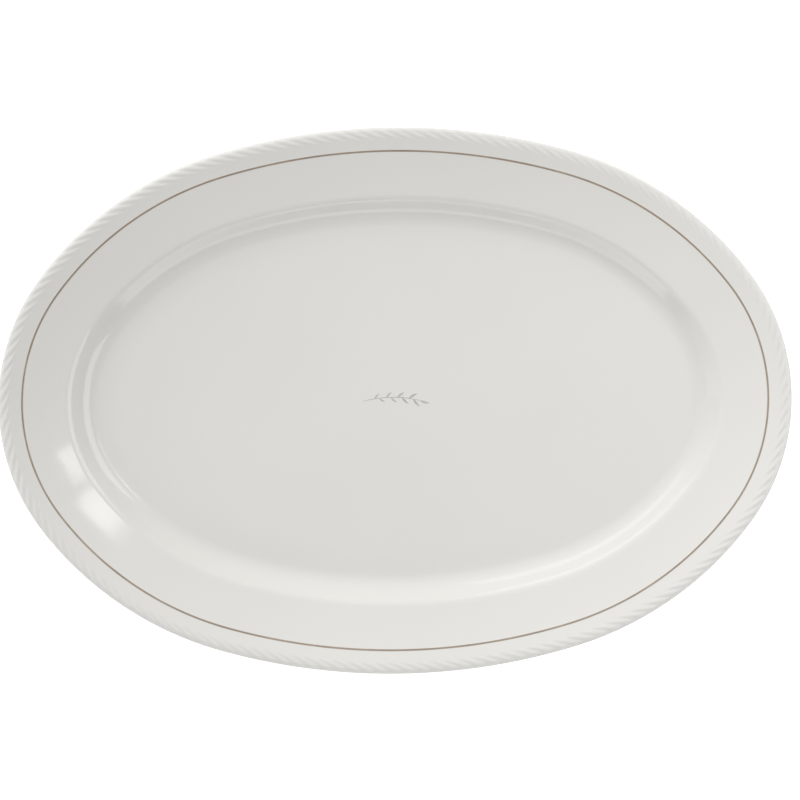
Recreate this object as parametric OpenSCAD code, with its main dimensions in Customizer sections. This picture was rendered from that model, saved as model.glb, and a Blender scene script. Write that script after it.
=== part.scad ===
// Oval china serving platter with a twisted-rope edge, a fine painted line round its rim
// and a small transfer in the middle of its floor. It stands on an oval foot ring.
// +X runs along its length and +Z is up. z = 0 is the face of the foot ring.

/* [Outline] */
// Length over the rope edge
platter_l = 360; // [300:1:440]
// Width over the rope edge
platter_w = 248; // [206:1:300]
// Radius of the four corner arcs, between the end arcs and the side arcs
corner_r = 155; // [130:1:175]

/* [Section] */
// Height of the foot ring
foot_h = 2.5; // [1.5:0.1:5]
// Thickness of the floor, glaze included
floor_t = 5.5; // [4:0.1:8]
// Thickness of the rim, glaze included
rim_t = 4.2; // [3:0.1:5.2]
// Radius of the fillet between the floor and the wall
fillet_r = 11.5; // [7:0.5:16]
// Slope of the wall
wall_slope = 45; // [30:1:60]
// Level distance that the straight part of the wall covers
wall_run = 3; // [1:0.5:10]
// Radius of the shoulder between the wall and the rim
shoulder_r = 7; // [6:0.5:12]
// Width of the rim between the shoulder and the rope
rim_w = 24.6; // [18:0.1:34]
// Slope of the rim beside the shoulder
rim_slope_in = 13; // [10:0.5:15]
// Slope of the rim beside the rope
rim_slope_out = 18; // [15:0.5:22]

/* [Rope edge] */
// Half the width of the bead that the rope is moulded on
bead_r = 3.1; // [2.8:0.1:4]
// Height of the bead above the rim
bead_rise = 0.4; // [0.3:0.05:1]
// Number of strands in the rope
strands = 150; // [90:1:180]
// Depth of the grooves between the strands
groove_depth = 0.5; // [0.3:0.05:1]

/* [Foot ring] */
// Distance from the edge of the flat floor in to the outside of the foot ring
foot_setback = 2.5; // [0:0.5:8]
// Width of the foot ring where it meets the floor
foot_w = 5; // [4:0.5:8]
// Width of the face that the foot ring stands on
foot_face_w = 3; // [2:0.5:4]

/* [Glaze and decoration] */
// Thickness of the glaze
glaze_t = 0.3; // [0.2:0.05:0.5]
// Distance from the rope to the middle of the painted line
line_gap = 5.3; // [1:0.1:20]
// Width of the painted line
line_w = 0.7; // [0.4:0.1:2]
// Thickness of the painted line and of the transfer
enamel_t = 0.1; // [0.05:0.01:0.2]
// Length of the sprig's stem
sprig_l = 26; // [15:1:60]
// Width of the sprig's stem
stem_w = 0.5; // [0.4:0.1:1]
// Length of each leaf on the sprig
leaf_l = 4.5; // [2:0.5:6]
// Widest part of each leaf
leaf_w = 1.6; // [0.8:0.1:2.5]
// Leaves on each side of the stem
leaf_pairs = 4; // [2:1:6]
// Middle of the sprig along the platter
mark_x = -1.5; // [-20:0.5:20]
// Middle of the sprig across the platter
mark_y = 1.5; // [-20:0.5:20]

/* [Hidden] */
$fn = 96;

// ---- The oval: eight arcs, each tangent to the next ----
half_l = platter_l / 2;
half_w = platter_w / 2;
// The outline's normal where the end arcs meet the corner arcs, and where those meet the side arcs.
// Both have short exact decimals, so that neighbouring arcs share their end faces exactly.
end_dir = [0.8, 0.6];
side_dir = [0.28, 0.96];
// The end and side radii close the outline at half_l and half_w
close_l = half_l - corner_r * (end_dir.x - side_dir.x);
close_w = half_w - corner_r * (side_dir.y - end_dir.y);
det = end_dir.y * side_dir.x - (1 - end_dir.x) * (1 - side_dir.y);
end_r = (close_w * side_dir.x - close_l * (1 - side_dir.y)) / det;
side_r = (close_l * end_dir.y - close_w * (1 - end_dir.x)) / det;
end_c = [half_l - end_r, 0];
corner_c = end_c + (end_r - corner_r) * end_dir;
side_c = corner_c + (corner_r - side_r) * side_dir;

// Each arc is [centre, radius, direction of its start, direction of its end], anticlockwise from +X
function flip_x(v) = [-v.x, v.y];
function flip_y(v) = [v.x, -v.y];
quarter = [[corner_c, corner_r, end_dir, side_dir], [side_c, side_r, side_dir, flip_x(side_dir)],
    [flip_x(corner_c), corner_r, flip_x(side_dir), flip_x(end_dir)]];
arcs = concat(
    [[end_c, end_r, flip_y(end_dir), end_dir]],
    quarter,
    [[-end_c, end_r, flip_x(end_dir), -end_dir]],
    [for (a = quarter) [-a[0], a[1], -a[2], -a[3]]]
);

// Start, sweep and length of arc i, and the length of the arcs before it, at d inside the outline
function angle_of(v) = atan2(v.y, v.x);
function start_of(i) = angle_of(arcs[i][2]);
function sweep_of(i) = (angle_of(arcs[i][3]) - start_of(i) + 360) % 360;
function arc_len(i, d) = (arcs[i][1] - d) * sweep_of(i) * PI / 180;
function len_before(i, d) = i == 0 ? 0 : len_before(i - 1, d) + arc_len(i - 1, d);

// Sweeps a section round the oval. The section's x is 0 at the outline and falls inward.
tall = 100;
module sweep_section() {
    for (a = arcs) intersection() {
        translate(a[0]) rotate_extrude() translate([a[1], 0]) children();
        linear_extrude(tall) polygon([a[0], a[0] + 2 * a[1] * a[2], a[0] + 2 * a[1] * a[3]]);
    }
}

// A swept layer that has no hole in the middle gets a plate there. The plate's corners lie a
// distance inside the sweep's start, so that the sweep and the plate overlap and join.
overlap = 1.5;
plate_steps = 6;
module middle_plate(d, low, high) {
    corners = [for (i = [0:7], k = [0:plate_steps - 1])
        let (t = start_of(i) + sweep_of(i) * k / plate_steps)
        arcs[i][0] + (arcs[i][1] - d) * [cos(t), sin(t)]];
    translate([0, 0, low]) linear_extrude(high - low) polygon(corners);
}

// ---- The section through floor, wall and rim, as [distance inside the outline, height, slope] ----
// The bead is a superellipse, flatter than an oval, and it is cut where it is as thick as the rim
bead_power = 3;
bead_h = rim_t / 2 + bead_rise;
bead_cut = bead_r * pow(1 - pow(rim_t / 2 / bead_h, bead_power), 1 / bead_power);
rope_in = bead_r + bead_cut;
rim_in = rope_in + rim_w;
shoulder_in = rim_in + shoulder_r * (sin(wall_slope) - sin(rim_slope_in));
fillet_end = shoulder_in + wall_run;
floor_in = fillet_end + fillet_r * sin(wall_slope);
floor_z = foot_h + floor_t;
fillet_z = floor_z + fillet_r * (1 - cos(wall_slope));
shoulder_z = fillet_z + wall_run * tan(wall_slope);
rim_z = shoulder_z + shoulder_r * (cos(rim_slope_in) - cos(wall_slope));
// The rim is one shallow hollow arc between its two slopes
rim_r = rim_w / (sin(rim_slope_out) - sin(rim_slope_in));
function rim_slope_at(d) = asin(sin(rim_slope_in) + (rim_in - d) / rim_r);
function rim_z_at(d) = rim_z + rim_r * (cos(rim_slope_in) - cos(rim_slope_at(d)));
function rim_station(d) = [d, rim_z_at(d), rim_slope_at(d)];

// Each arc of the section has this many steps
steps = 6;
function between(a, b, i) = a + (b - a) * i / steps;
line_in = rope_in + line_gap;
line_edges = [line_in + line_w / 2, line_in - line_w / 2];
fillet_part = [for (i = [0:steps]) let (s = between(0, wall_slope, i))
    [floor_in - fillet_r * sin(s), floor_z + fillet_r * (1 - cos(s)), s]];
shoulder_part = [for (i = [0:steps]) let (s = between(wall_slope, rim_slope_in, i))
    [shoulder_in - shoulder_r * (sin(wall_slope) - sin(s)),
     shoulder_z + shoulder_r * (cos(s) - cos(wall_slope)), s]];
rim_part = [
    for (i = [1:steps]) rim_station(between(rim_in, line_edges[0], i)),
    rim_station(line_edges[1]),
    rim_station(rope_in),
];
function stations(start_in) = concat([[start_in, floor_z, 0]], fillet_part, shoulder_part, rim_part);

// Thickness falls evenly from the floor to the rope
function thickness_at(d) =
    d >= floor_in ? floor_t : rim_t + (floor_t - rim_t) * (d - rope_in) / (floor_in - rope_in);

// A station moved down by t along its normal, as a point of the swept section.
// The last station moves straight down, so that the rim ends in an upright face.
function lowered(p, t) =
    let (lean = p[0] == rope_in ? 0 : p[2])
    [-p[0] + t * sin(lean), p[1] - t * cos(lean)];
function face(start_in) = [for (p = stations(start_in)) lowered(p, 0)];
function under_face_glaze(start_in) = [for (p = stations(start_in)) lowered(p, glaze_t)];
function over_back_glaze(start_in) =
    [for (p = stations(start_in)) lowered(p, thickness_at(p[0]) - glaze_t)];
function back(start_in) = [for (p = stations(start_in)) lowered(p, thickness_at(p[0]))];

// The layer of the section between two of those surfaces
module layer(top, bottom) {
    polygon(concat(top, [for (i = [len(bottom) - 1:-1:0]) bottom[i]]));
}

// ---- The pressed body ----
floor_plate_in = floor_in + overlap;
floor_sweep_in = floor_plate_in + overlap;
module clay_body() {
    color([0.93, 0.92, 0.90]) union() {
        sweep_section() layer(under_face_glaze(floor_sweep_in), over_back_glaze(floor_sweep_in));
        middle_plate(floor_plate_in, foot_h + glaze_t, floor_z - glaze_t);
    }
}

foot_in = floor_in + foot_setback;
foot_taper = (foot_w - foot_face_w) / 2;
module foot_ring() {
    color([0.86, 0.83, 0.78]) sweep_section() polygon([
        [-foot_in, foot_h + glaze_t],
        [-foot_in, foot_h],
        [-foot_in - foot_taper, 0],
        [-foot_in - foot_w + foot_taper, 0],
        [-foot_in - foot_w, foot_h],
        [-foot_in - foot_w, foot_h + glaze_t],
    ]);
}

// ---- The rope edge: a bead whose strands wind over its top and its outside ----
bead_z = rim_z_at(rope_in) - rim_t / 2;
rope_len = len_before(8, bead_r);
// Points across each strand: one in the groove and the others on the crown
strand_points = 3;
rope_points = strands * strand_points;
// Lines along the bead over its top, from the crease beside the rim, and then below it.
// Each top line is turned one strand point on from the one before, which slants the strands.
crease = atan2(rim_t / 2, -bead_cut);
top_lines = 7;
top_end = -30;
// The underside of the bead, between the strands' outer ends and the crease below the rim, is plain
low_line = -60;
line_angles = concat(
    [for (i = [0:top_lines - 1]) crease + (top_end - crease) * i / (top_lines - 1)],
    [low_line, -crease]
);
top_turn = top_lines - 1;

// The bead's reach from its middle at an angle
function reach_at(angle) =
    pow(pow(abs(cos(angle)) / bead_r, bead_power) + pow(abs(sin(angle)) / bead_h, bead_power),
        -1 / bead_power);

// The point j along a line at this angle, at a distance r from the middle of the bead
function arc_at(s, i = 0) = i == 7 || s < len_before(i + 1, bead_r) ? i : arc_at(s, i + 1);
function rope_point(j, angle, r) =
    let (
        s = (j % rope_points) * rope_len / rope_points,
        i = arc_at(s),
        t = start_of(i) + (s - len_before(i, bead_r)) / (arcs[i][1] - bead_r) * 180 / PI,
        out = arcs[i][0] + (arcs[i][1] - bead_r + r * cos(angle)) * [cos(t), sin(t)]
    )
    [out.x, out.y, bead_z + r * sin(angle)];
function in_groove(i, j) = i > 0 && i < top_lines && j % strand_points == 0;
module rope_edge() {
    n = len(line_angles);
    points = [for (i = [0:n - 1], j = [0:rope_points - 1])
        let (turned = i < top_lines ? j + i : j)
        rope_point(turned, line_angles[i], reach_at(line_angles[i]) - (in_groove(i, j) ? groove_depth : 0))];
    faces = [for (i = [0:n - 1], j = [0:rope_points - 1])
        let (
            k = (j + 1) % rope_points,
            turn = i == top_lines - 1 ? top_turn : 0,
            here = i * rope_points,
            next = (i + 1) % n * rope_points,
            far = next + (k + turn) % rope_points
        )
        each [[here + j, here + k, far], [here + j, far, next + (j + turn) % rope_points]]];
    color([0.95, 0.94, 0.92]) polyhedron(points, faces);
}

// ---- The glaze ----
module face_glaze() {
    color([0.96, 0.95, 0.93]) union() {
        sweep_section() layer(face(floor_sweep_in), under_face_glaze(floor_sweep_in));
        middle_plate(floor_plate_in, floor_z - glaze_t, floor_z);
    }
}
module back_glaze() {
    color([0.95, 0.94, 0.92]) sweep_section() layer(over_back_glaze(foot_in), back(foot_in));
}
base_in = foot_in + foot_w;
base_plate_in = base_in + overlap;
module base_glaze() {
    color([0.94, 0.93, 0.91]) union() {
        sweep_section() translate([-base_plate_in - overlap, foot_h])
            square([2 * overlap, glaze_t]);
        middle_plate(base_plate_in, foot_h, foot_h + glaze_t);
    }
}

// ---- The painted line, on the flat step of the rim that its edges mark ----
line_out = lowered(rim_station(line_edges[1]), 0);
line_inside = lowered(rim_station(line_edges[0]), 0);
module rim_line() {
    color([0.55, 0.46, 0.38]) sweep_section() polygon([
        line_inside, line_out, line_out + [0, enamel_t], line_inside + [0, enamel_t],
    ]);
}

// ---- The transfer in the middle: a plain leafy sprig on a bent stem ----
stem_bend = 2 * sprig_l;
stem_sweep = 2 * asin(sprig_l / 2 / stem_bend);
leaf_spread = 38;
smallest_leaf = 0.6;
// The leaves of the right side sit this share of a gap further up than those of the left
leaf_stagger = 0.4;
// A pointed leaf from the origin along +X, where two arcs cross
module leaf(size) {
    arc_r = size * (leaf_l * leaf_l + leaf_w * leaf_w) / (4 * leaf_w);
    off = arc_r - size * leaf_w / 2;
    linear_extrude(enamel_t) translate([size * leaf_l / 2, 0]) intersection() {
        translate([0, off]) circle(arc_r);
        translate([0, -off]) circle(arc_r);
    }
}
// Places its children on the stem, at a share of the way along it, with +X along the stem
module on_stem(share) {
    rotate(90 + stem_sweep * (0.5 - share)) translate([stem_bend, 0]) rotate(-90) children();
}
module centre_flourish() {
    color([0.72, 0.71, 0.69]) translate([mark_x, mark_y - stem_bend, floor_z]) {
        rotate(90 - stem_sweep / 2) rotate_extrude(angle = stem_sweep)
            translate([stem_bend - stem_w / 2, 0]) square([stem_w, enamel_t]);
        on_stem(1) translate([-stem_w, 0]) leaf(1);
        for (i = [1:leaf_pairs]) {
            size = smallest_leaf + (1 - smallest_leaf) * i / leaf_pairs;
            on_stem(i / (leaf_pairs + 1)) rotate(leaf_spread) leaf(size);
            on_stem((i + leaf_stagger) / (leaf_pairs + 1)) rotate(-leaf_spread) leaf(size);
        }
    }
}

clay_body();
foot_ring();
rope_edge();
face_glaze();
back_glaze();
base_glaze();
rim_line();
centre_flourish();
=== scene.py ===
"""An oval china platter: glazed face, back and base round the CAD body, a moulded rope edge with
wound strands, a painted line, a small leafy sprig and a part-glazed foot ring. Metres, +Z up."""

import math

import bpy
import numpy as np
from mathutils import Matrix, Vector


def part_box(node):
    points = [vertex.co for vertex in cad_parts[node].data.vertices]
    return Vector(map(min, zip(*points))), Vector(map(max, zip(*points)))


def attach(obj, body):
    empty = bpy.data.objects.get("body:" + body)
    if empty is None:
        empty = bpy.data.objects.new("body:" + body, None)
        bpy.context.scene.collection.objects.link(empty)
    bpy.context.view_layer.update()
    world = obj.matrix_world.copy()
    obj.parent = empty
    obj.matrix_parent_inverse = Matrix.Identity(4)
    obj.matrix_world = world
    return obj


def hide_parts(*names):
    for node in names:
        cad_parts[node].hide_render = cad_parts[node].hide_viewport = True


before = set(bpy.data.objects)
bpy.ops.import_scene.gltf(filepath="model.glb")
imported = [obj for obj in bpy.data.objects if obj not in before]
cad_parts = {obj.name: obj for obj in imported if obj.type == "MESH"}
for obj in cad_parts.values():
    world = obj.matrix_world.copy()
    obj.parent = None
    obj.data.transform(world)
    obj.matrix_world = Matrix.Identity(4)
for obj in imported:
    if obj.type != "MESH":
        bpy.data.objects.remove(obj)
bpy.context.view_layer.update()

MM = 0.001
scene = bpy.context.scene

# ---- Camera: straight above the platter, turned a little about the vertical ----
VIEW_WIDTH = 363.4 * MM
VIEW_HEIGHT = 2.0
ROLL = math.radians(-0.76)
AIM = Vector((2.2, 0.2)) * MM
SENSOR_WIDTH = 36

camera_data = bpy.data.cameras.new("camera")
camera_data.sensor_width = SENSOR_WIDTH
camera_data.lens = SENSOR_WIDTH * VIEW_HEIGHT / VIEW_WIDTH
camera = bpy.data.objects.new("camera", camera_data)
camera.location = (AIM.x, AIM.y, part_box("rope_edge")[0].z + VIEW_HEIGHT)
camera.rotation_euler = (0, 0, ROLL)
scene.collection.objects.link(camera)
scene.camera = camera

# ---- Sizes: the CAD nodes' boxes give the places, and these give the curves between them ----
CORNER_R = 155 * MM
FLOOR_T = 5.5 * MM
RIM_T = 4.2 * MM
FILLET_R = 11.5 * MM
WALL_SLOPE = math.radians(45)
WALL_RUN = 3 * MM
SHOULDER_R = 7 * MM
RIM_W = 24.6 * MM
RIM_SLOPE_IN = math.radians(13)
RIM_SLOPE_OUT = math.radians(18)
BEAD_R = 3.1 * MM
BEAD_RISE = 0.4 * MM
BEAD_SQUARE = 3
LINE_W = 0.7 * MM
FOOT_W = 5 * MM
FOOT_FACE_W = 3 * MM
STRANDS = 150

half_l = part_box("rope_edge")[1].x
half_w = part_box("rope_edge")[1].y
bead_h = RIM_T / 2 + BEAD_RISE
bead_cut = BEAD_R * (1 - (RIM_T / 2 / bead_h) ** BEAD_SQUARE) ** (1 / BEAD_SQUARE)
rope_in = BEAD_R + bead_cut
foot_in = half_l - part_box("foot_ring")[1].x
base_in = foot_in + FOOT_W
floor_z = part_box("centre_flourish")[0].z
base_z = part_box("base_glaze")[0].z
glaze_t = floor_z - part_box("face_glaze")[0].z
line_in = half_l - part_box("rim_line")[1].x + LINE_W / 2

# ---- The oval: eight arcs, each tangent to the next ----
END_DIR = np.array([0.8, 0.6])
SIDE_DIR = np.array([0.28, 0.96])


def oval_arcs():
    """Centre, radius, start angle and sweep of each arc, anticlockwise from the +X end."""
    close = np.array([half_l, half_w]) - CORNER_R * np.abs(END_DIR - SIDE_DIR)
    ways = [[1 - END_DIR[0], SIDE_DIR[0]], [END_DIR[1], 1 - SIDE_DIR[1]]]
    end_r, side_r = np.linalg.solve(ways, close)
    end_c = np.array([half_l - end_r, 0])
    corner_c = end_c + (end_r - CORNER_R) * END_DIR
    side_c = corner_c + (CORNER_R - side_r) * SIDE_DIR
    one = math.atan2(END_DIR[1], END_DIR[0])
    two = math.atan2(SIDE_DIR[1], SIDE_DIR[0])
    half = [
        (end_c, end_r, -one, 2 * one),
        (corner_c, CORNER_R, one, two - one),
        (side_c, side_r, two, math.pi - 2 * two),
        (corner_c * [-1, 1], CORNER_R, math.pi - two, two - one),
    ]
    return half + [(-c, r, a + math.pi, s) for c, r, a, s in half]


ARC_C, ARC_R, ARC_START, ARC_SWEEP = (np.array(column) for column in zip(*oval_arcs()))
ARC_ENDS = np.concatenate([[0], np.cumsum((ARC_R - BEAD_R) * ARC_SWEEP)])


def on_oval(share, inward, height):
    """Points at these shares of the way round, at a distance inside the outline and a height."""
    length = (np.asarray(share) % 1) * ARC_ENDS[-1]
    i = np.clip(np.searchsorted(ARC_ENDS, length, "right") - 1, 0, len(ARC_R) - 1)
    angle = ARC_START[i] + (length - ARC_ENDS[i]) / (ARC_R[i] - BEAD_R)
    normal = np.stack([np.cos(angle), np.sin(angle)], -1)
    flat = ARC_C[i] + (ARC_R[i] - inward)[..., None] * normal
    return np.concatenate([flat, np.broadcast_to(height, angle.shape)[..., None]], -1)


# ---- The section through floor, wall and rim: rows of inward, height and slope ----
FILLET_ROWS = 15
SHOULDER_ROWS = 13
RIM_ROWS = 17
HAIR = 0.001 * MM

rim_in = rope_in + RIM_W
rim_r = RIM_W / (math.sin(RIM_SLOPE_OUT) - math.sin(RIM_SLOPE_IN))
shoulder_in = rim_in + SHOULDER_R * (math.sin(WALL_SLOPE) - math.sin(RIM_SLOPE_IN))
floor_in = shoulder_in + WALL_RUN + FILLET_R * math.sin(WALL_SLOPE)
shoulder_z = floor_z + FILLET_R * (1 - math.cos(WALL_SLOPE)) + WALL_RUN * math.tan(WALL_SLOPE)
rim_z = shoulder_z + SHOULDER_R * (math.cos(RIM_SLOPE_IN) - math.cos(WALL_SLOPE))


def rim_rows(inward):
    """The rim's top, whose slope grows steadily outwards."""
    sine = math.sin(RIM_SLOPE_IN) + (rim_in - inward) / rim_r
    height = rim_z + rim_r * (math.cos(RIM_SLOPE_IN) - np.sqrt(1 - sine**2))
    return np.stack([inward, height, np.arcsin(sine)], -1)


def face_section(first_in):
    """The top surface from first_in out to the rope."""
    fillet = np.linspace(0, WALL_SLOPE, FILLET_ROWS)
    shoulder = np.linspace(WALL_SLOPE, RIM_SLOPE_IN, SHOULDER_ROWS)
    return np.concatenate([
        [[first_in, floor_z, 0]],
        np.stack([floor_in - FILLET_R * np.sin(fillet),
                  floor_z + FILLET_R * (1 - np.cos(fillet)), fillet], -1),
        np.stack([shoulder_in - SHOULDER_R * (math.sin(WALL_SLOPE) - np.sin(shoulder)),
                  shoulder_z + SHOULDER_R * (np.cos(shoulder) - math.cos(WALL_SLOPE)), shoulder], -1),
        rim_rows(np.linspace(rim_in, rope_in, RIM_ROWS + 1)[1:]),
    ])


def thickness(inward):
    """Down through clay and glaze: even under the floor, and thinner and thinner out to the rope."""
    share = (inward - rope_in) / (floor_in - rope_in)
    return np.minimum(FLOOR_T, RIM_T + (FLOOR_T - RIM_T) * share)


def lowered(rows, depth):
    """The section moved along its normals. The row beside the rope moves straight down."""
    lean = np.where(rows[:, 0] <= rope_in + HAIR, 0, rows[:, 2])
    return np.stack([rows[:, 0] - depth * np.sin(lean), rows[:, 1] - depth * np.cos(lean)], -1)


def smooth_step(value, low, high):
    """0 at low and 1 at high, with a soft start and end."""
    share = np.clip((value - low) / (high - low), 0, 1)
    return share * share * (3 - 2 * share)


# ---- Mesh making ----
AROUND = 480
CRISP = math.radians(50)


def make_object(name, points, faces, material, slot, *nodes):
    """A smooth closed mesh that rides on the body and stands for the CAD nodes."""
    mesh = bpy.data.meshes.new(name)
    mesh.from_pydata(np.asarray(points).tolist(), [], [[int(v) for v in face] for face in faces])
    mesh.validate()
    mesh.shade_smooth()
    mesh.set_sharp_from_angle(angle=CRISP)
    mesh.materials.append(material)
    made = bpy.data.objects.new(name, mesh)
    scene.collection.objects.link(made)
    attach(made, "root")
    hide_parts(*nodes)
    return made


def give_points(made, name, values):
    """Gives each point of the mesh a number that a material can read by this name."""
    made.data.attributes.new(name, "FLOAT", "POINT").data.foreach_set("value", np.float32(values))


def between_rings(rings, around, wrap):
    """Quads between rings of points that follow each other, and back to the first if wrap."""
    i, j = np.meshgrid(np.arange(rings if wrap else rings - 1), np.arange(around), indexing="ij")
    here, there, k = i * around, (i + 1) % rings * around, (j + 1) % around
    return np.stack([here + j, here + k, there + k, there + j], -1).reshape(-1, 4)


def swept(section):
    """One ring of points round the oval for each inward and height."""
    share = np.arange(AROUND) / AROUND
    return [on_oval(share, inward, height) for inward, height in section]


def ring_piece(name, section, material, slot, *nodes):
    """A closed section, anticlockwise as inward and height, swept round the oval."""
    faces = between_rings(len(section), AROUND, True)
    return make_object(name, np.concatenate(swept(section)), faces, material, slot, *nodes)


def disc_piece(name, section, inner_shares, material, slot, *nodes):
    """A plate: the section starts at the top, runs out and over the edge and back underneath."""
    edge = swept(section)
    top = [edge[0] * [s, s, 1] for s in inner_shares]
    bottom = [edge[-1] * [s, s, 1] for s in reversed(inner_shares)]
    rings = top + edge + bottom
    middles = [[0, 0, section[0][1]], [0, 0, section[-1][1]]]
    faces = between_rings(len(rings), AROUND, False).tolist()
    tip = len(rings) * AROUND
    last = tip - AROUND
    for j in range(AROUND):
        k = (j + 1) % AROUND
        faces += [[tip, k, j], [tip + 1, last + j, last + k]]
    return make_object(name, np.concatenate(rings + [middles]), faces, material, slot, *nodes)


# ---- Material making ----
def feed(tree, socket, value):
    """Links a node's output to the socket, or sets the socket to a number, a vector or a colour."""
    if isinstance(value, bpy.types.NodeSocket):
        tree.links.new(value, socket)
    elif socket.type == "RGBA":
        socket.default_value = (*value, 1)
    else:
        socket.default_value = value


def node(tree, kind, sockets, **settings):
    """Adds a node with these settings, feeds its inputs and gives its outputs."""
    made = tree.nodes.new("ShaderNode" + kind)
    for name, value in settings.items():
        setattr(made, name, value)
    for key, value in sockets.items():
        feed(tree, made.inputs[key], value)
    return made.outputs


def new_material(name):
    material = bpy.data.materials.new(name)
    material.use_nodes = True
    return material, material.node_tree


def finish_surface(tree, sockets):
    """Feeds the material's own shader."""
    for name, value in sockets.items():
        feed(tree, tree.nodes["Principled BSDF"].inputs[name], value)


def part_coords(tree):
    """Places in the part's own frame, in metres."""
    return node(tree, "TexCoord", {})["Object"]


def read_points(tree, name):
    """The numbers that give_points gave by this name."""
    return node(tree, "Attribute", {}, attribute_name=name)["Fac"]


def calculate(tree, operation, a, b):
    return node(tree, "Math", {0: a, 1: b}, operation=operation)[0]


def spread(tree, value, low, high, to_low, to_high):
    """Runs from to_low to to_high as the value goes from low to high, and stops there."""
    return node(tree, "MapRange", {"Value": value, "From Min": low, "From Max": high,
                                   "To Min": to_low, "To Max": to_high})["Result"]


def blend_colours(tree, share, a, b):
    """Colour a where share is 0 and b where it is 1."""
    return node(tree, "Mix", {0: share, 6: a, 7: b}, data_type="RGBA")[2]


def noise(tree, size, detail):
    """Noise whose features are about this many metres across."""
    return node(tree, "TexNoise", {"Vector": part_coords(tree), "Scale": 1 / size, "Detail": detail})["Fac"]


# Noise keeps near 0.5. Inside these limits it is spread out, and beyond them it is even.
WIDE = (0.3, 0.7)
MIDDLE = (0.35, 0.65)
UPPER = (0.35, 0.7)


def mottle(tree, size, detail, limits, to_low=0, to_high=1):
    """Noise spread out between two values."""
    return spread(tree, noise(tree, size, detail), *limits, to_low, to_high)


def bumps(tree, *layers):
    """The normal under bump layers. Each is (height output, metres for a height of 1)."""
    under = {}
    for height, distance in layers:
        under = {"Normal": node(tree, "Bump", {"Height": height, "Distance": distance, **under})["Normal"]}
    return under["Normal"]


# ---- Materials ----
WHITE = (0.865, 0.853, 0.823)
WHITE_SHADE = (0.85, 0.84, 0.812)
GROOVE_WHITE = (0.83, 0.822, 0.795)
FOOT_WHITE = (0.83, 0.82, 0.78)
CLAY = (0.80, 0.775, 0.72)
CLAY_SHADE = (0.74, 0.71, 0.65)
GROUND_CLAY = (0.78, 0.75, 0.69)
GROUND_CLAY_SHADE = (0.66, 0.62, 0.55)
BROWN = (0.42, 0.338, 0.268)
BROWN_DENSE = (0.32, 0.252, 0.198)
GREY = (0.62, 0.605, 0.57)
GREY_DENSE = (0.47, 0.46, 0.43)
PORE_SHARE = 1 / 60


def glaze_material(name, ripple, groove=None):
    """Gloss glaze: a slow drift between two whites, ripples this many metres high, and fine pores."""
    material, tree = new_material(name)
    colour = blend_colours(tree, mottle(tree, 90 * MM, 2, MIDDLE), WHITE, WHITE_SHADE)
    if groove:
        colour = blend_colours(tree, read_points(tree, "groove"), colour, groove)
    slow_ripple = (noise(tree, 35 * MM, 1), ripple)
    pores = (noise(tree, 1.2 * MM, 2), ripple * PORE_SHARE)
    finish_surface(tree, {
        "Base Color": colour,
        "Roughness": mottle(tree, 20 * MM, 2, WIDE, 0.06, 0.11),
        "IOR": 1.5,
        "Normal": bumps(tree, slow_ripple, pores),
    })
    return material


def clay_material():
    """Fired clay in two tones, with a fine grain."""
    material, tree = new_material("fired_clay")
    grain = noise(tree, 0.4 * MM, 6)
    finish_surface(tree, {
        "Base Color": blend_colours(tree, mottle(tree, 12 * MM, 4, UPPER), CLAY, CLAY_SHADE),
        "Roughness": spread(tree, grain, *WIDE, 0.62, 0.78),
        "Specular IOR Level": 0.25,
        "Normal": bumps(tree, (grain, 0.04 * MM)),
    })
    return material


def foot_material():
    """Glaze down the foot's sides and bare ground clay on its face, with an uneven edge between."""
    material, tree = new_material("foot_glaze_and_clay")
    height = node(tree, "SeparateXYZ", {0: part_coords(tree)})["Z"]
    wander = mottle(tree, 6 * MM, 3, WIDE, -0.15 * MM, 0.15 * MM)
    glazed = spread(tree, calculate(tree, "ADD", height, wander), 0.45 * MM, 0.55 * MM, 0, 1)
    bare = blend_colours(tree, mottle(tree, 10 * MM, 5, UPPER), GROUND_CLAY, GROUND_CLAY_SHADE)
    grain = calculate(tree, "MULTIPLY", noise(tree, 0.5 * MM, 6), spread(tree, glazed, 0, 1, 1, 0))
    finish_surface(tree, {
        "Base Color": blend_colours(tree, glazed, bare, FOOT_WHITE),
        "Roughness": spread(tree, glazed, 0, 1, 0.78, 0.12),
        "Normal": bumps(tree, (grain, 0.05 * MM)),
    })
    return material


def paint_material(name, colour, dense_colour, size, rough):
    """Fired-on colour, denser in some strokes than in others, that thins out to white at its edges."""
    material, tree = new_material(name)
    dense = mottle(tree, size, 3, WIDE)
    painted = blend_colours(tree, dense, colour, dense_colour)
    finish_surface(tree, {
        "Base Color": blend_colours(tree, read_points(tree, "edge"), painted, WHITE),
        "Roughness": spread(tree, dense, 0, 1, rough + 0.05, rough - 0.05),
        "Normal": bumps(tree, (noise(tree, 0.6 * MM, 2), 0.01 * MM)),
    })
    return material


face_white = glaze_material("face_glaze_white", 0.03 * MM)
back_white = glaze_material("back_glaze_white", 0.09 * MM)
rope_white = glaze_material("rope_glaze_white", 0.02 * MM, GROOVE_WHITE)
fired_clay = clay_material()
line_brown = paint_material("line_brown", BROWN, BROWN_DENSE, 12 * MM, 0.25)
sprig_grey = paint_material("sprig_grey", GREY, GREY_DENSE, 3 * MM, 0.22)

# ---- The glaze ----
FLAT_EDGE_W = 2 * MM
FACE_SHARES = [0.2, 0.4, 0.6, 0.75, 0.9]
BASE_SHARES = [0.2, 0.4, 0.6, 0.8, 0.95]

face_top = face_section(floor_in + FLAT_EDGE_W)
face_under = lowered(face_top, glaze_t)
face = np.concatenate([face_top[:, :2], face_under[::-1]])
disc_piece("glazed_face", face, FACE_SHARES, face_white, "glaze", "face_glaze")

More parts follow.
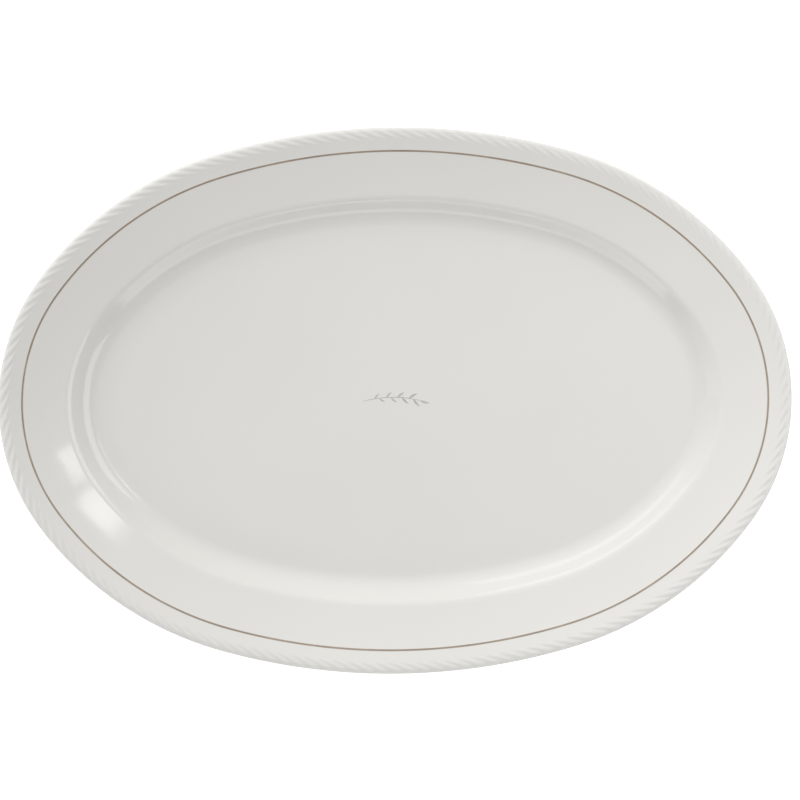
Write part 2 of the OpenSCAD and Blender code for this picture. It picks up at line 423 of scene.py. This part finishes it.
back_rows = face_section(foot_in)
back_top = lowered(back_rows, thickness(back_rows[:, 0]) - glaze_t)
back_under = lowered(back_rows, thickness(back_rows[:, 0]))
back = np.concatenate([back_top, back_under[::-1]])
ring_piece("glazed_back", back, back_white, "glaze", "back_glaze")

base = [(base_in, base_z + glaze_t), (base_in, base_z)]
disc_piece("glazed_base", base, BASE_SHARES, back_white, "glaze", "base_glaze")

# ---- The foot ring: a low round-shouldered ring that flares into the floor ----
FOOT_EASE = 0.45 * MM
FOOT_FLARE = 0.6
FLARE_SHARES = (0.15, 0.35, 0.6, 0.85)
EASE_STEPS = 7


def foot_section():
    taper = (FOOT_W - FOOT_FACE_W) / 2
    turn = np.linspace(0, math.pi / 2, EASE_STEPS)
    side = [(foot_in, base_z + glaze_t / 2), (foot_in, base_z)]
    flare = [(foot_in + taper * s**FOOT_FLARE, base_z * (1 - s) + FOOT_EASE * s) for s in FLARE_SHARES]
    ease = [(foot_in + taper + FOOT_EASE * (1 - math.cos(t)), FOOT_EASE * (1 - math.sin(t))) for t in turn]
    half = side + flare + ease
    middle = foot_in + FOOT_W / 2
    return half + [(2 * middle - inward, height) for inward, height in reversed(half)]


ring_piece("foot", foot_section(), foot_material(), "bare_foot", "foot_ring")

# ---- The rope edge: strands wound over the bead's top and outside ----
CREASE = math.atan2(RIM_T / 2, -bead_cut)
HIDDEN = math.radians(3)
TUCK = 0.6 * MM
APEX_IN = 2.2 * MM
OUTER_SQUARE = 2.4
TOP_STEPS = 40
GROOVE = 0.15 * MM
GROOVE_SHARPNESS = 1.5
CROWN = 0.13 * MM
TURNS = 2.0
FULL_RELIEF = math.radians(60)
CREASE_FADE = math.radians(22)
STRAND_POINTS = 16
SHOWN_LINES = 32
bead_z = rim_rows(np.array([rope_in]))[0, 1] - RIM_T / 2


def bead_top():
    """Angles and radii of the bead's upper half: it carries on the rim's slope and rounds over at the
    outside."""
    top_r = (rope_in - APEX_IN) / math.sin(RIM_SLOPE_OUT)
    apex_h = RIM_T / 2 + top_r * (1 - math.cos(RIM_SLOPE_OUT))
    t = np.linspace(0, math.pi / 2, TOP_STEPS)
    outer = [BEAD_R - APEX_IN + APEX_IN * np.cos(t) ** (2 / OUTER_SQUARE),
             apex_h * np.sin(t) ** (2 / OUTER_SQUARE)]
    back = np.linspace(0, rope_in - APEX_IN, TOP_STEPS)[1:]
    inner = [BEAD_R - APEX_IN - back, apex_h - top_r + np.sqrt(top_r**2 - back**2)]
    x, z = np.concatenate([outer, inner], axis=1)
    return np.arctan2(z, x), np.hypot(x, z)


TOP_ANGLES, TOP_RADII = bead_top()


def bead_radius(angle):
    """From the bead's middle to its surface. The underside is an oval with flattened sides, and beyond
    the crease the top tucks into the rim."""
    if angle > 0:
        return np.interp(angle, TOP_ANGLES, TOP_RADII) - TUCK * max(0, angle - CREASE) / HIDDEN
    wide = (math.cos(angle) / BEAD_R) ** BEAD_SQUARE
    high = (-math.sin(angle) / bead_h) ** BEAD_SQUARE
    return (abs(wide) + high) ** (-1 / BEAD_SQUARE)


def rope_rings():
    """Rings of points from the crease over the bead and under it, and how deep each is in a groove."""
    angles = [CREASE + HIDDEN, *np.linspace(CREASE, -CREASE, SHOWN_LINES), -CREASE - HIDDEN]
    share = np.arange(STRANDS * STRAND_POINTS) / (STRANDS * STRAND_POINTS)
    rings, grooves = [], []
    for angle in angles:
        phase = share * STRANDS - TURNS * (CREASE - max(angle, 0)) / CREASE
        hollow = (0.5 + 0.5 * np.cos(2 * math.pi * phase)) ** GROOVE_SHARPNESS
        relief = smooth_step(angle, 0, FULL_RELIEF) * smooth_step(CREASE - angle, 0, CREASE_FADE)
        radius = bead_radius(angle) + relief * (CROWN * (1 - hollow) - GROOVE * hollow)
        rings.append(on_oval(share, BEAD_R - radius * math.cos(angle), bead_z + radius * math.sin(angle)))
        grooves.append(hollow * relief)
    return rings, grooves


rope, grooves = rope_rings()
rope_faces = between_rings(len(rope), len(rope[0]), True)
rope_border = make_object("rope_border", np.concatenate(rope), rope_faces, rope_white,
                          "glazed_rope", "rope_edge")
give_points(rope_border, "groove", np.concatenate(grooves))

# ---- Paint: low crowned beads of colour that sink a little into the glaze ----
PAINT_T = 0.1 * MM
PAINT_SUNK = 0.03 * MM
ACROSS = np.linspace(-1, 1, 11)
SWELL = PAINT_T * (1 - ACROSS**4)

# ---- The painted line ----
LINE_SOFT = 0.2 * MM
LINE_FADE_FROM = 0.5


def line_section():
    rows = rim_rows(line_in - ACROSS * (LINE_W / 2 + LINE_SOFT))
    upper = [(row[0], row[1] + swell) for row, swell in zip(rows, SWELL)]
    return upper + [(row[0], row[1] - PAINT_SUNK) for row in rows[::-1]]


line = ring_piece("painted_line", line_section(), line_brown, "line_enamel", "rim_line")
line_edge = smooth_step(np.abs(ACROSS), LINE_FADE_FROM, 1)
give_points(line, "edge", np.repeat(np.concatenate([line_edge, line_edge[::-1]]), AROUND))

# ---- The sprig: a bent stem with leaves on both sides, in one low coat of colour ----
SPRIG_L = 26 * MM
SPRIG_Y = 1.5 * MM
SPRIG_FADE_FROM = 0.45
SPRIG_FADE = 0.8
STEM_W = 0.45 * MM
STEM_END_SHARE = 0.55
STEM_STEPS = 31
STEM_BEND_R = 2 * SPRIG_L
STEM_SWEEP = 2 * math.asin(SPRIG_L / 2 / STEM_BEND_R)
LEAF_L = 4.5 * MM
LEAF_W = 1.25 * MM
LEAF_STEPS = 15
LEAF_BLUNT = 0.06
LEAF_FULLNESS = 0.85
LEAF_PAIRS = 4
SMALLEST_LEAF = 0.6
LEAF_SPREAD = math.radians(38)
LEAF_STAGGER = 0.4
LEAF_CURL = math.radians(25)
bend_middle = np.array([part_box("centre_flourish")[0].x + SPRIG_L / 2, SPRIG_Y - STEM_BEND_R])
stem_widths = STEM_END_SHARE + (1 - STEM_END_SHARE) * np.sin(math.pi * np.linspace(0, 1, STEM_STEPS))
leaf_widths = LEAF_BLUNT + np.sin(math.pi * np.linspace(0, 1, LEAF_STEPS) ** LEAF_FULLNESS)


def stroke(place, heading, curl, length, widths):
    """Points of a low crowned stroke that curls as it runs, and how near each is to its edge."""
    steps = len(widths)
    turn = heading + curl * np.linspace(-0.5, 0.5, steps)
    ahead = np.stack([np.cos(turn), np.sin(turn)], -1) * length / (steps - 1)
    spine = place + np.concatenate([[[0, 0]], np.cumsum((ahead[1:] + ahead[:-1]) / 2, axis=0)])
    points, edges = [], []
    for middle, angle, width in zip(spine, turn, widths):
        side = np.array([-math.sin(angle), math.cos(angle)]) * width / 2
        points += [(*(middle - u * side), floor_z + swell) for u, swell in zip(ACROSS, SWELL)]
        points += [(*(middle + u * side), floor_z - PAINT_SUNK) for u in ACROSS]
        edges += [abs(u) for u in ACROSS] * 2
    return points, edges


def on_stem(share):
    """Place and heading at this share of the way along the stem."""
    heading = STEM_SWEEP * (0.5 - share)
    return bend_middle + STEM_BEND_R * np.array([-math.sin(heading), math.cos(heading)]), heading


def sprig_strokes():
    """The stem, a leaf at its tip and pairs of leaves that grow towards the tip."""
    yield stroke(on_stem(0)[0], 0, -STEM_SWEEP, STEM_BEND_R * STEM_SWEEP, STEM_W * stem_widths)
    yield stroke(*on_stem(1), LEAF_CURL, LEAF_L, LEAF_W * leaf_widths)
    for i in range(1, LEAF_PAIRS + 1):
        size = SMALLEST_LEAF + (1 - SMALLEST_LEAF) * i / LEAF_PAIRS
        for side, along in ((1, i), (-1, i + LEAF_STAGGER)):
            place, heading = on_stem(along / (LEAF_PAIRS + 1))
            yield stroke(place, heading + side * LEAF_SPREAD, -side * LEAF_CURL, LEAF_L * size,
                         LEAF_W * size * leaf_widths)


def sprig():
    points, faces, edges = [], [], []
    ring = 2 * len(ACROSS)
    for stroke_points, stroke_edges in sprig_strokes():
        first, count = len(points), len(stroke_points)
        faces += (between_rings(count // ring, ring, False) + first).tolist()
        faces += [[first + j for j in range(ring)][::-1], [first + count - ring + j for j in range(ring)]]
        points += stroke_points
        edges += stroke_edges
    made = make_object("leafy_sprig", points, faces, sprig_grey, "transfer_grey", "centre_flourish")
    give_points(made, "edge", SPRIG_FADE * smooth_step(np.array(edges), SPRIG_FADE_FROM, 1))


sprig()

# ---- The CAD body shows only as the clay under the glaze ----
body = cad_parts["clay_body"]
body.data.materials.clear()
body.data.materials.append(fired_clay)

# ---- Floor and light ----
FLOOR_SIZE = 6.0
FLOOR_GREY = (0.9, 0.9, 0.9)
FLOOR_ROUGH = 0.9
FLOOR_CAST = 0.15
FLOOR_SEEN = 0.7
WALLS_TINT = (1, 0.998, 0.99)
WALLS_BRIGHT_WAY = (135, 20)
WALLS_DARK = 0.08
WALLS_BRIGHT = 1.32
WALLS_SEEN = 0.85
LIGHT_DISTANCE = 1.6
WARM = (1, 0.995, 0.98)
NEUTRAL = (1, 0.997, 0.99)
COOL = (0.97, 0.985, 1)


def direction(azimuth, elevation):
    """The way to these degrees. Azimuth runs from +X towards +Y."""
    a, e = math.radians(azimuth), math.radians(elevation)
    return Vector((math.cos(a) * math.cos(e), math.sin(a) * math.cos(e), math.sin(e)))


def seen_or_cast(tree, cast, seen):
    """What a backdrop gives off: one strength where the camera sees it, and another as light."""
    return spread(tree, node(tree, "LightPath", {})["Is Camera Ray"], 0, 1, cast, seen)


def stage_floor():
    """A pale floor that is clear from underneath."""
    material, tree = new_material("studio_floor")
    finish_surface(tree, {
        "Base Color": FLOOR_GREY,
        "Roughness": FLOOR_ROUGH,
        "Emission Color": (1, 1, 1),
        "Emission Strength": seen_or_cast(tree, FLOOR_CAST, FLOOR_SEEN),
    })
    either = node(tree, "MixShader", {
        0: node(tree, "NewGeometry", {})["Backfacing"],
        1: tree.nodes["Principled BSDF"].outputs[0],
        2: node(tree, "BsdfTransparent", {})[0],
    })
    feed(tree, tree.nodes["Material Output"].inputs["Surface"], either[0])
    mesh = bpy.data.meshes.new("studio_floor")
    h = FLOOR_SIZE / 2
    mesh.from_pydata([(-h, -h, 0), (h, -h, 0), (h, h, 0), (-h, h, 0)], [], [(0, 1, 2, 3)])
    mesh.materials.append(material)
    made = bpy.data.objects.new("studio_floor", mesh)
    scene.collection.objects.link(made)


def studio_walls():
    """Surroundings that cast most light from one side and fall off smoothly to the other."""
    world = bpy.data.worlds.new("studio")
    world.use_nodes = True
    tree = world.node_tree
    ways = {0: node(tree, "TexCoord", {})["Generated"], 1: direction(*WALLS_BRIGHT_WAY)}
    toward = node(tree, "VectorMath", ways, operation="DOT_PRODUCT")["Value"]
    cast = spread(tree, toward, 0, 1, WALLS_DARK, WALLS_BRIGHT)
    background = tree.nodes["Background"]
    feed(tree, background.inputs["Strength"], seen_or_cast(tree, cast, WALLS_SEEN))
    feed(tree, background.inputs["Color"], WALLS_TINT)
    scene.world = world


def soft_light(name, azimuth, elevation, size, power, tint):
    """A rectangular light that faces the platter's middle."""
    data = bpy.data.lights.new(name, "AREA")
    data.shape = "RECTANGLE"
    data.size, data.size_y = size
    data.energy = power
    data.color = tint
    made = bpy.data.objects.new(name, data)
    away = direction(azimuth, elevation)
    made.location = away * LIGHT_DISTANCE
    made.rotation_euler = away.to_track_quat("Z", "Y").to_euler()
    scene.collection.objects.link(made)


stage_floor()
studio_walls()
soft_light("key", 118, 20, (1.16, 0.72), 3.2, WARM)
soft_light("side", 200, 14, (1.2, 0.6), 1.4, WARM)
soft_light("fill", 5, 40, (2.0, 0.9), 12.3, NEUTRAL)
soft_light("front", 270, 14, (3.0, 0.5), 7.8, NEUTRAL)
soft_light("wide_pane", 31, 72.3, (0.15, 0.09), 0.2, COOL)
soft_light("far_pane", 51, 70.5, (0.10, 0.10), 0.17, COOL)
scene.view_settings.view_transform = "Standard"
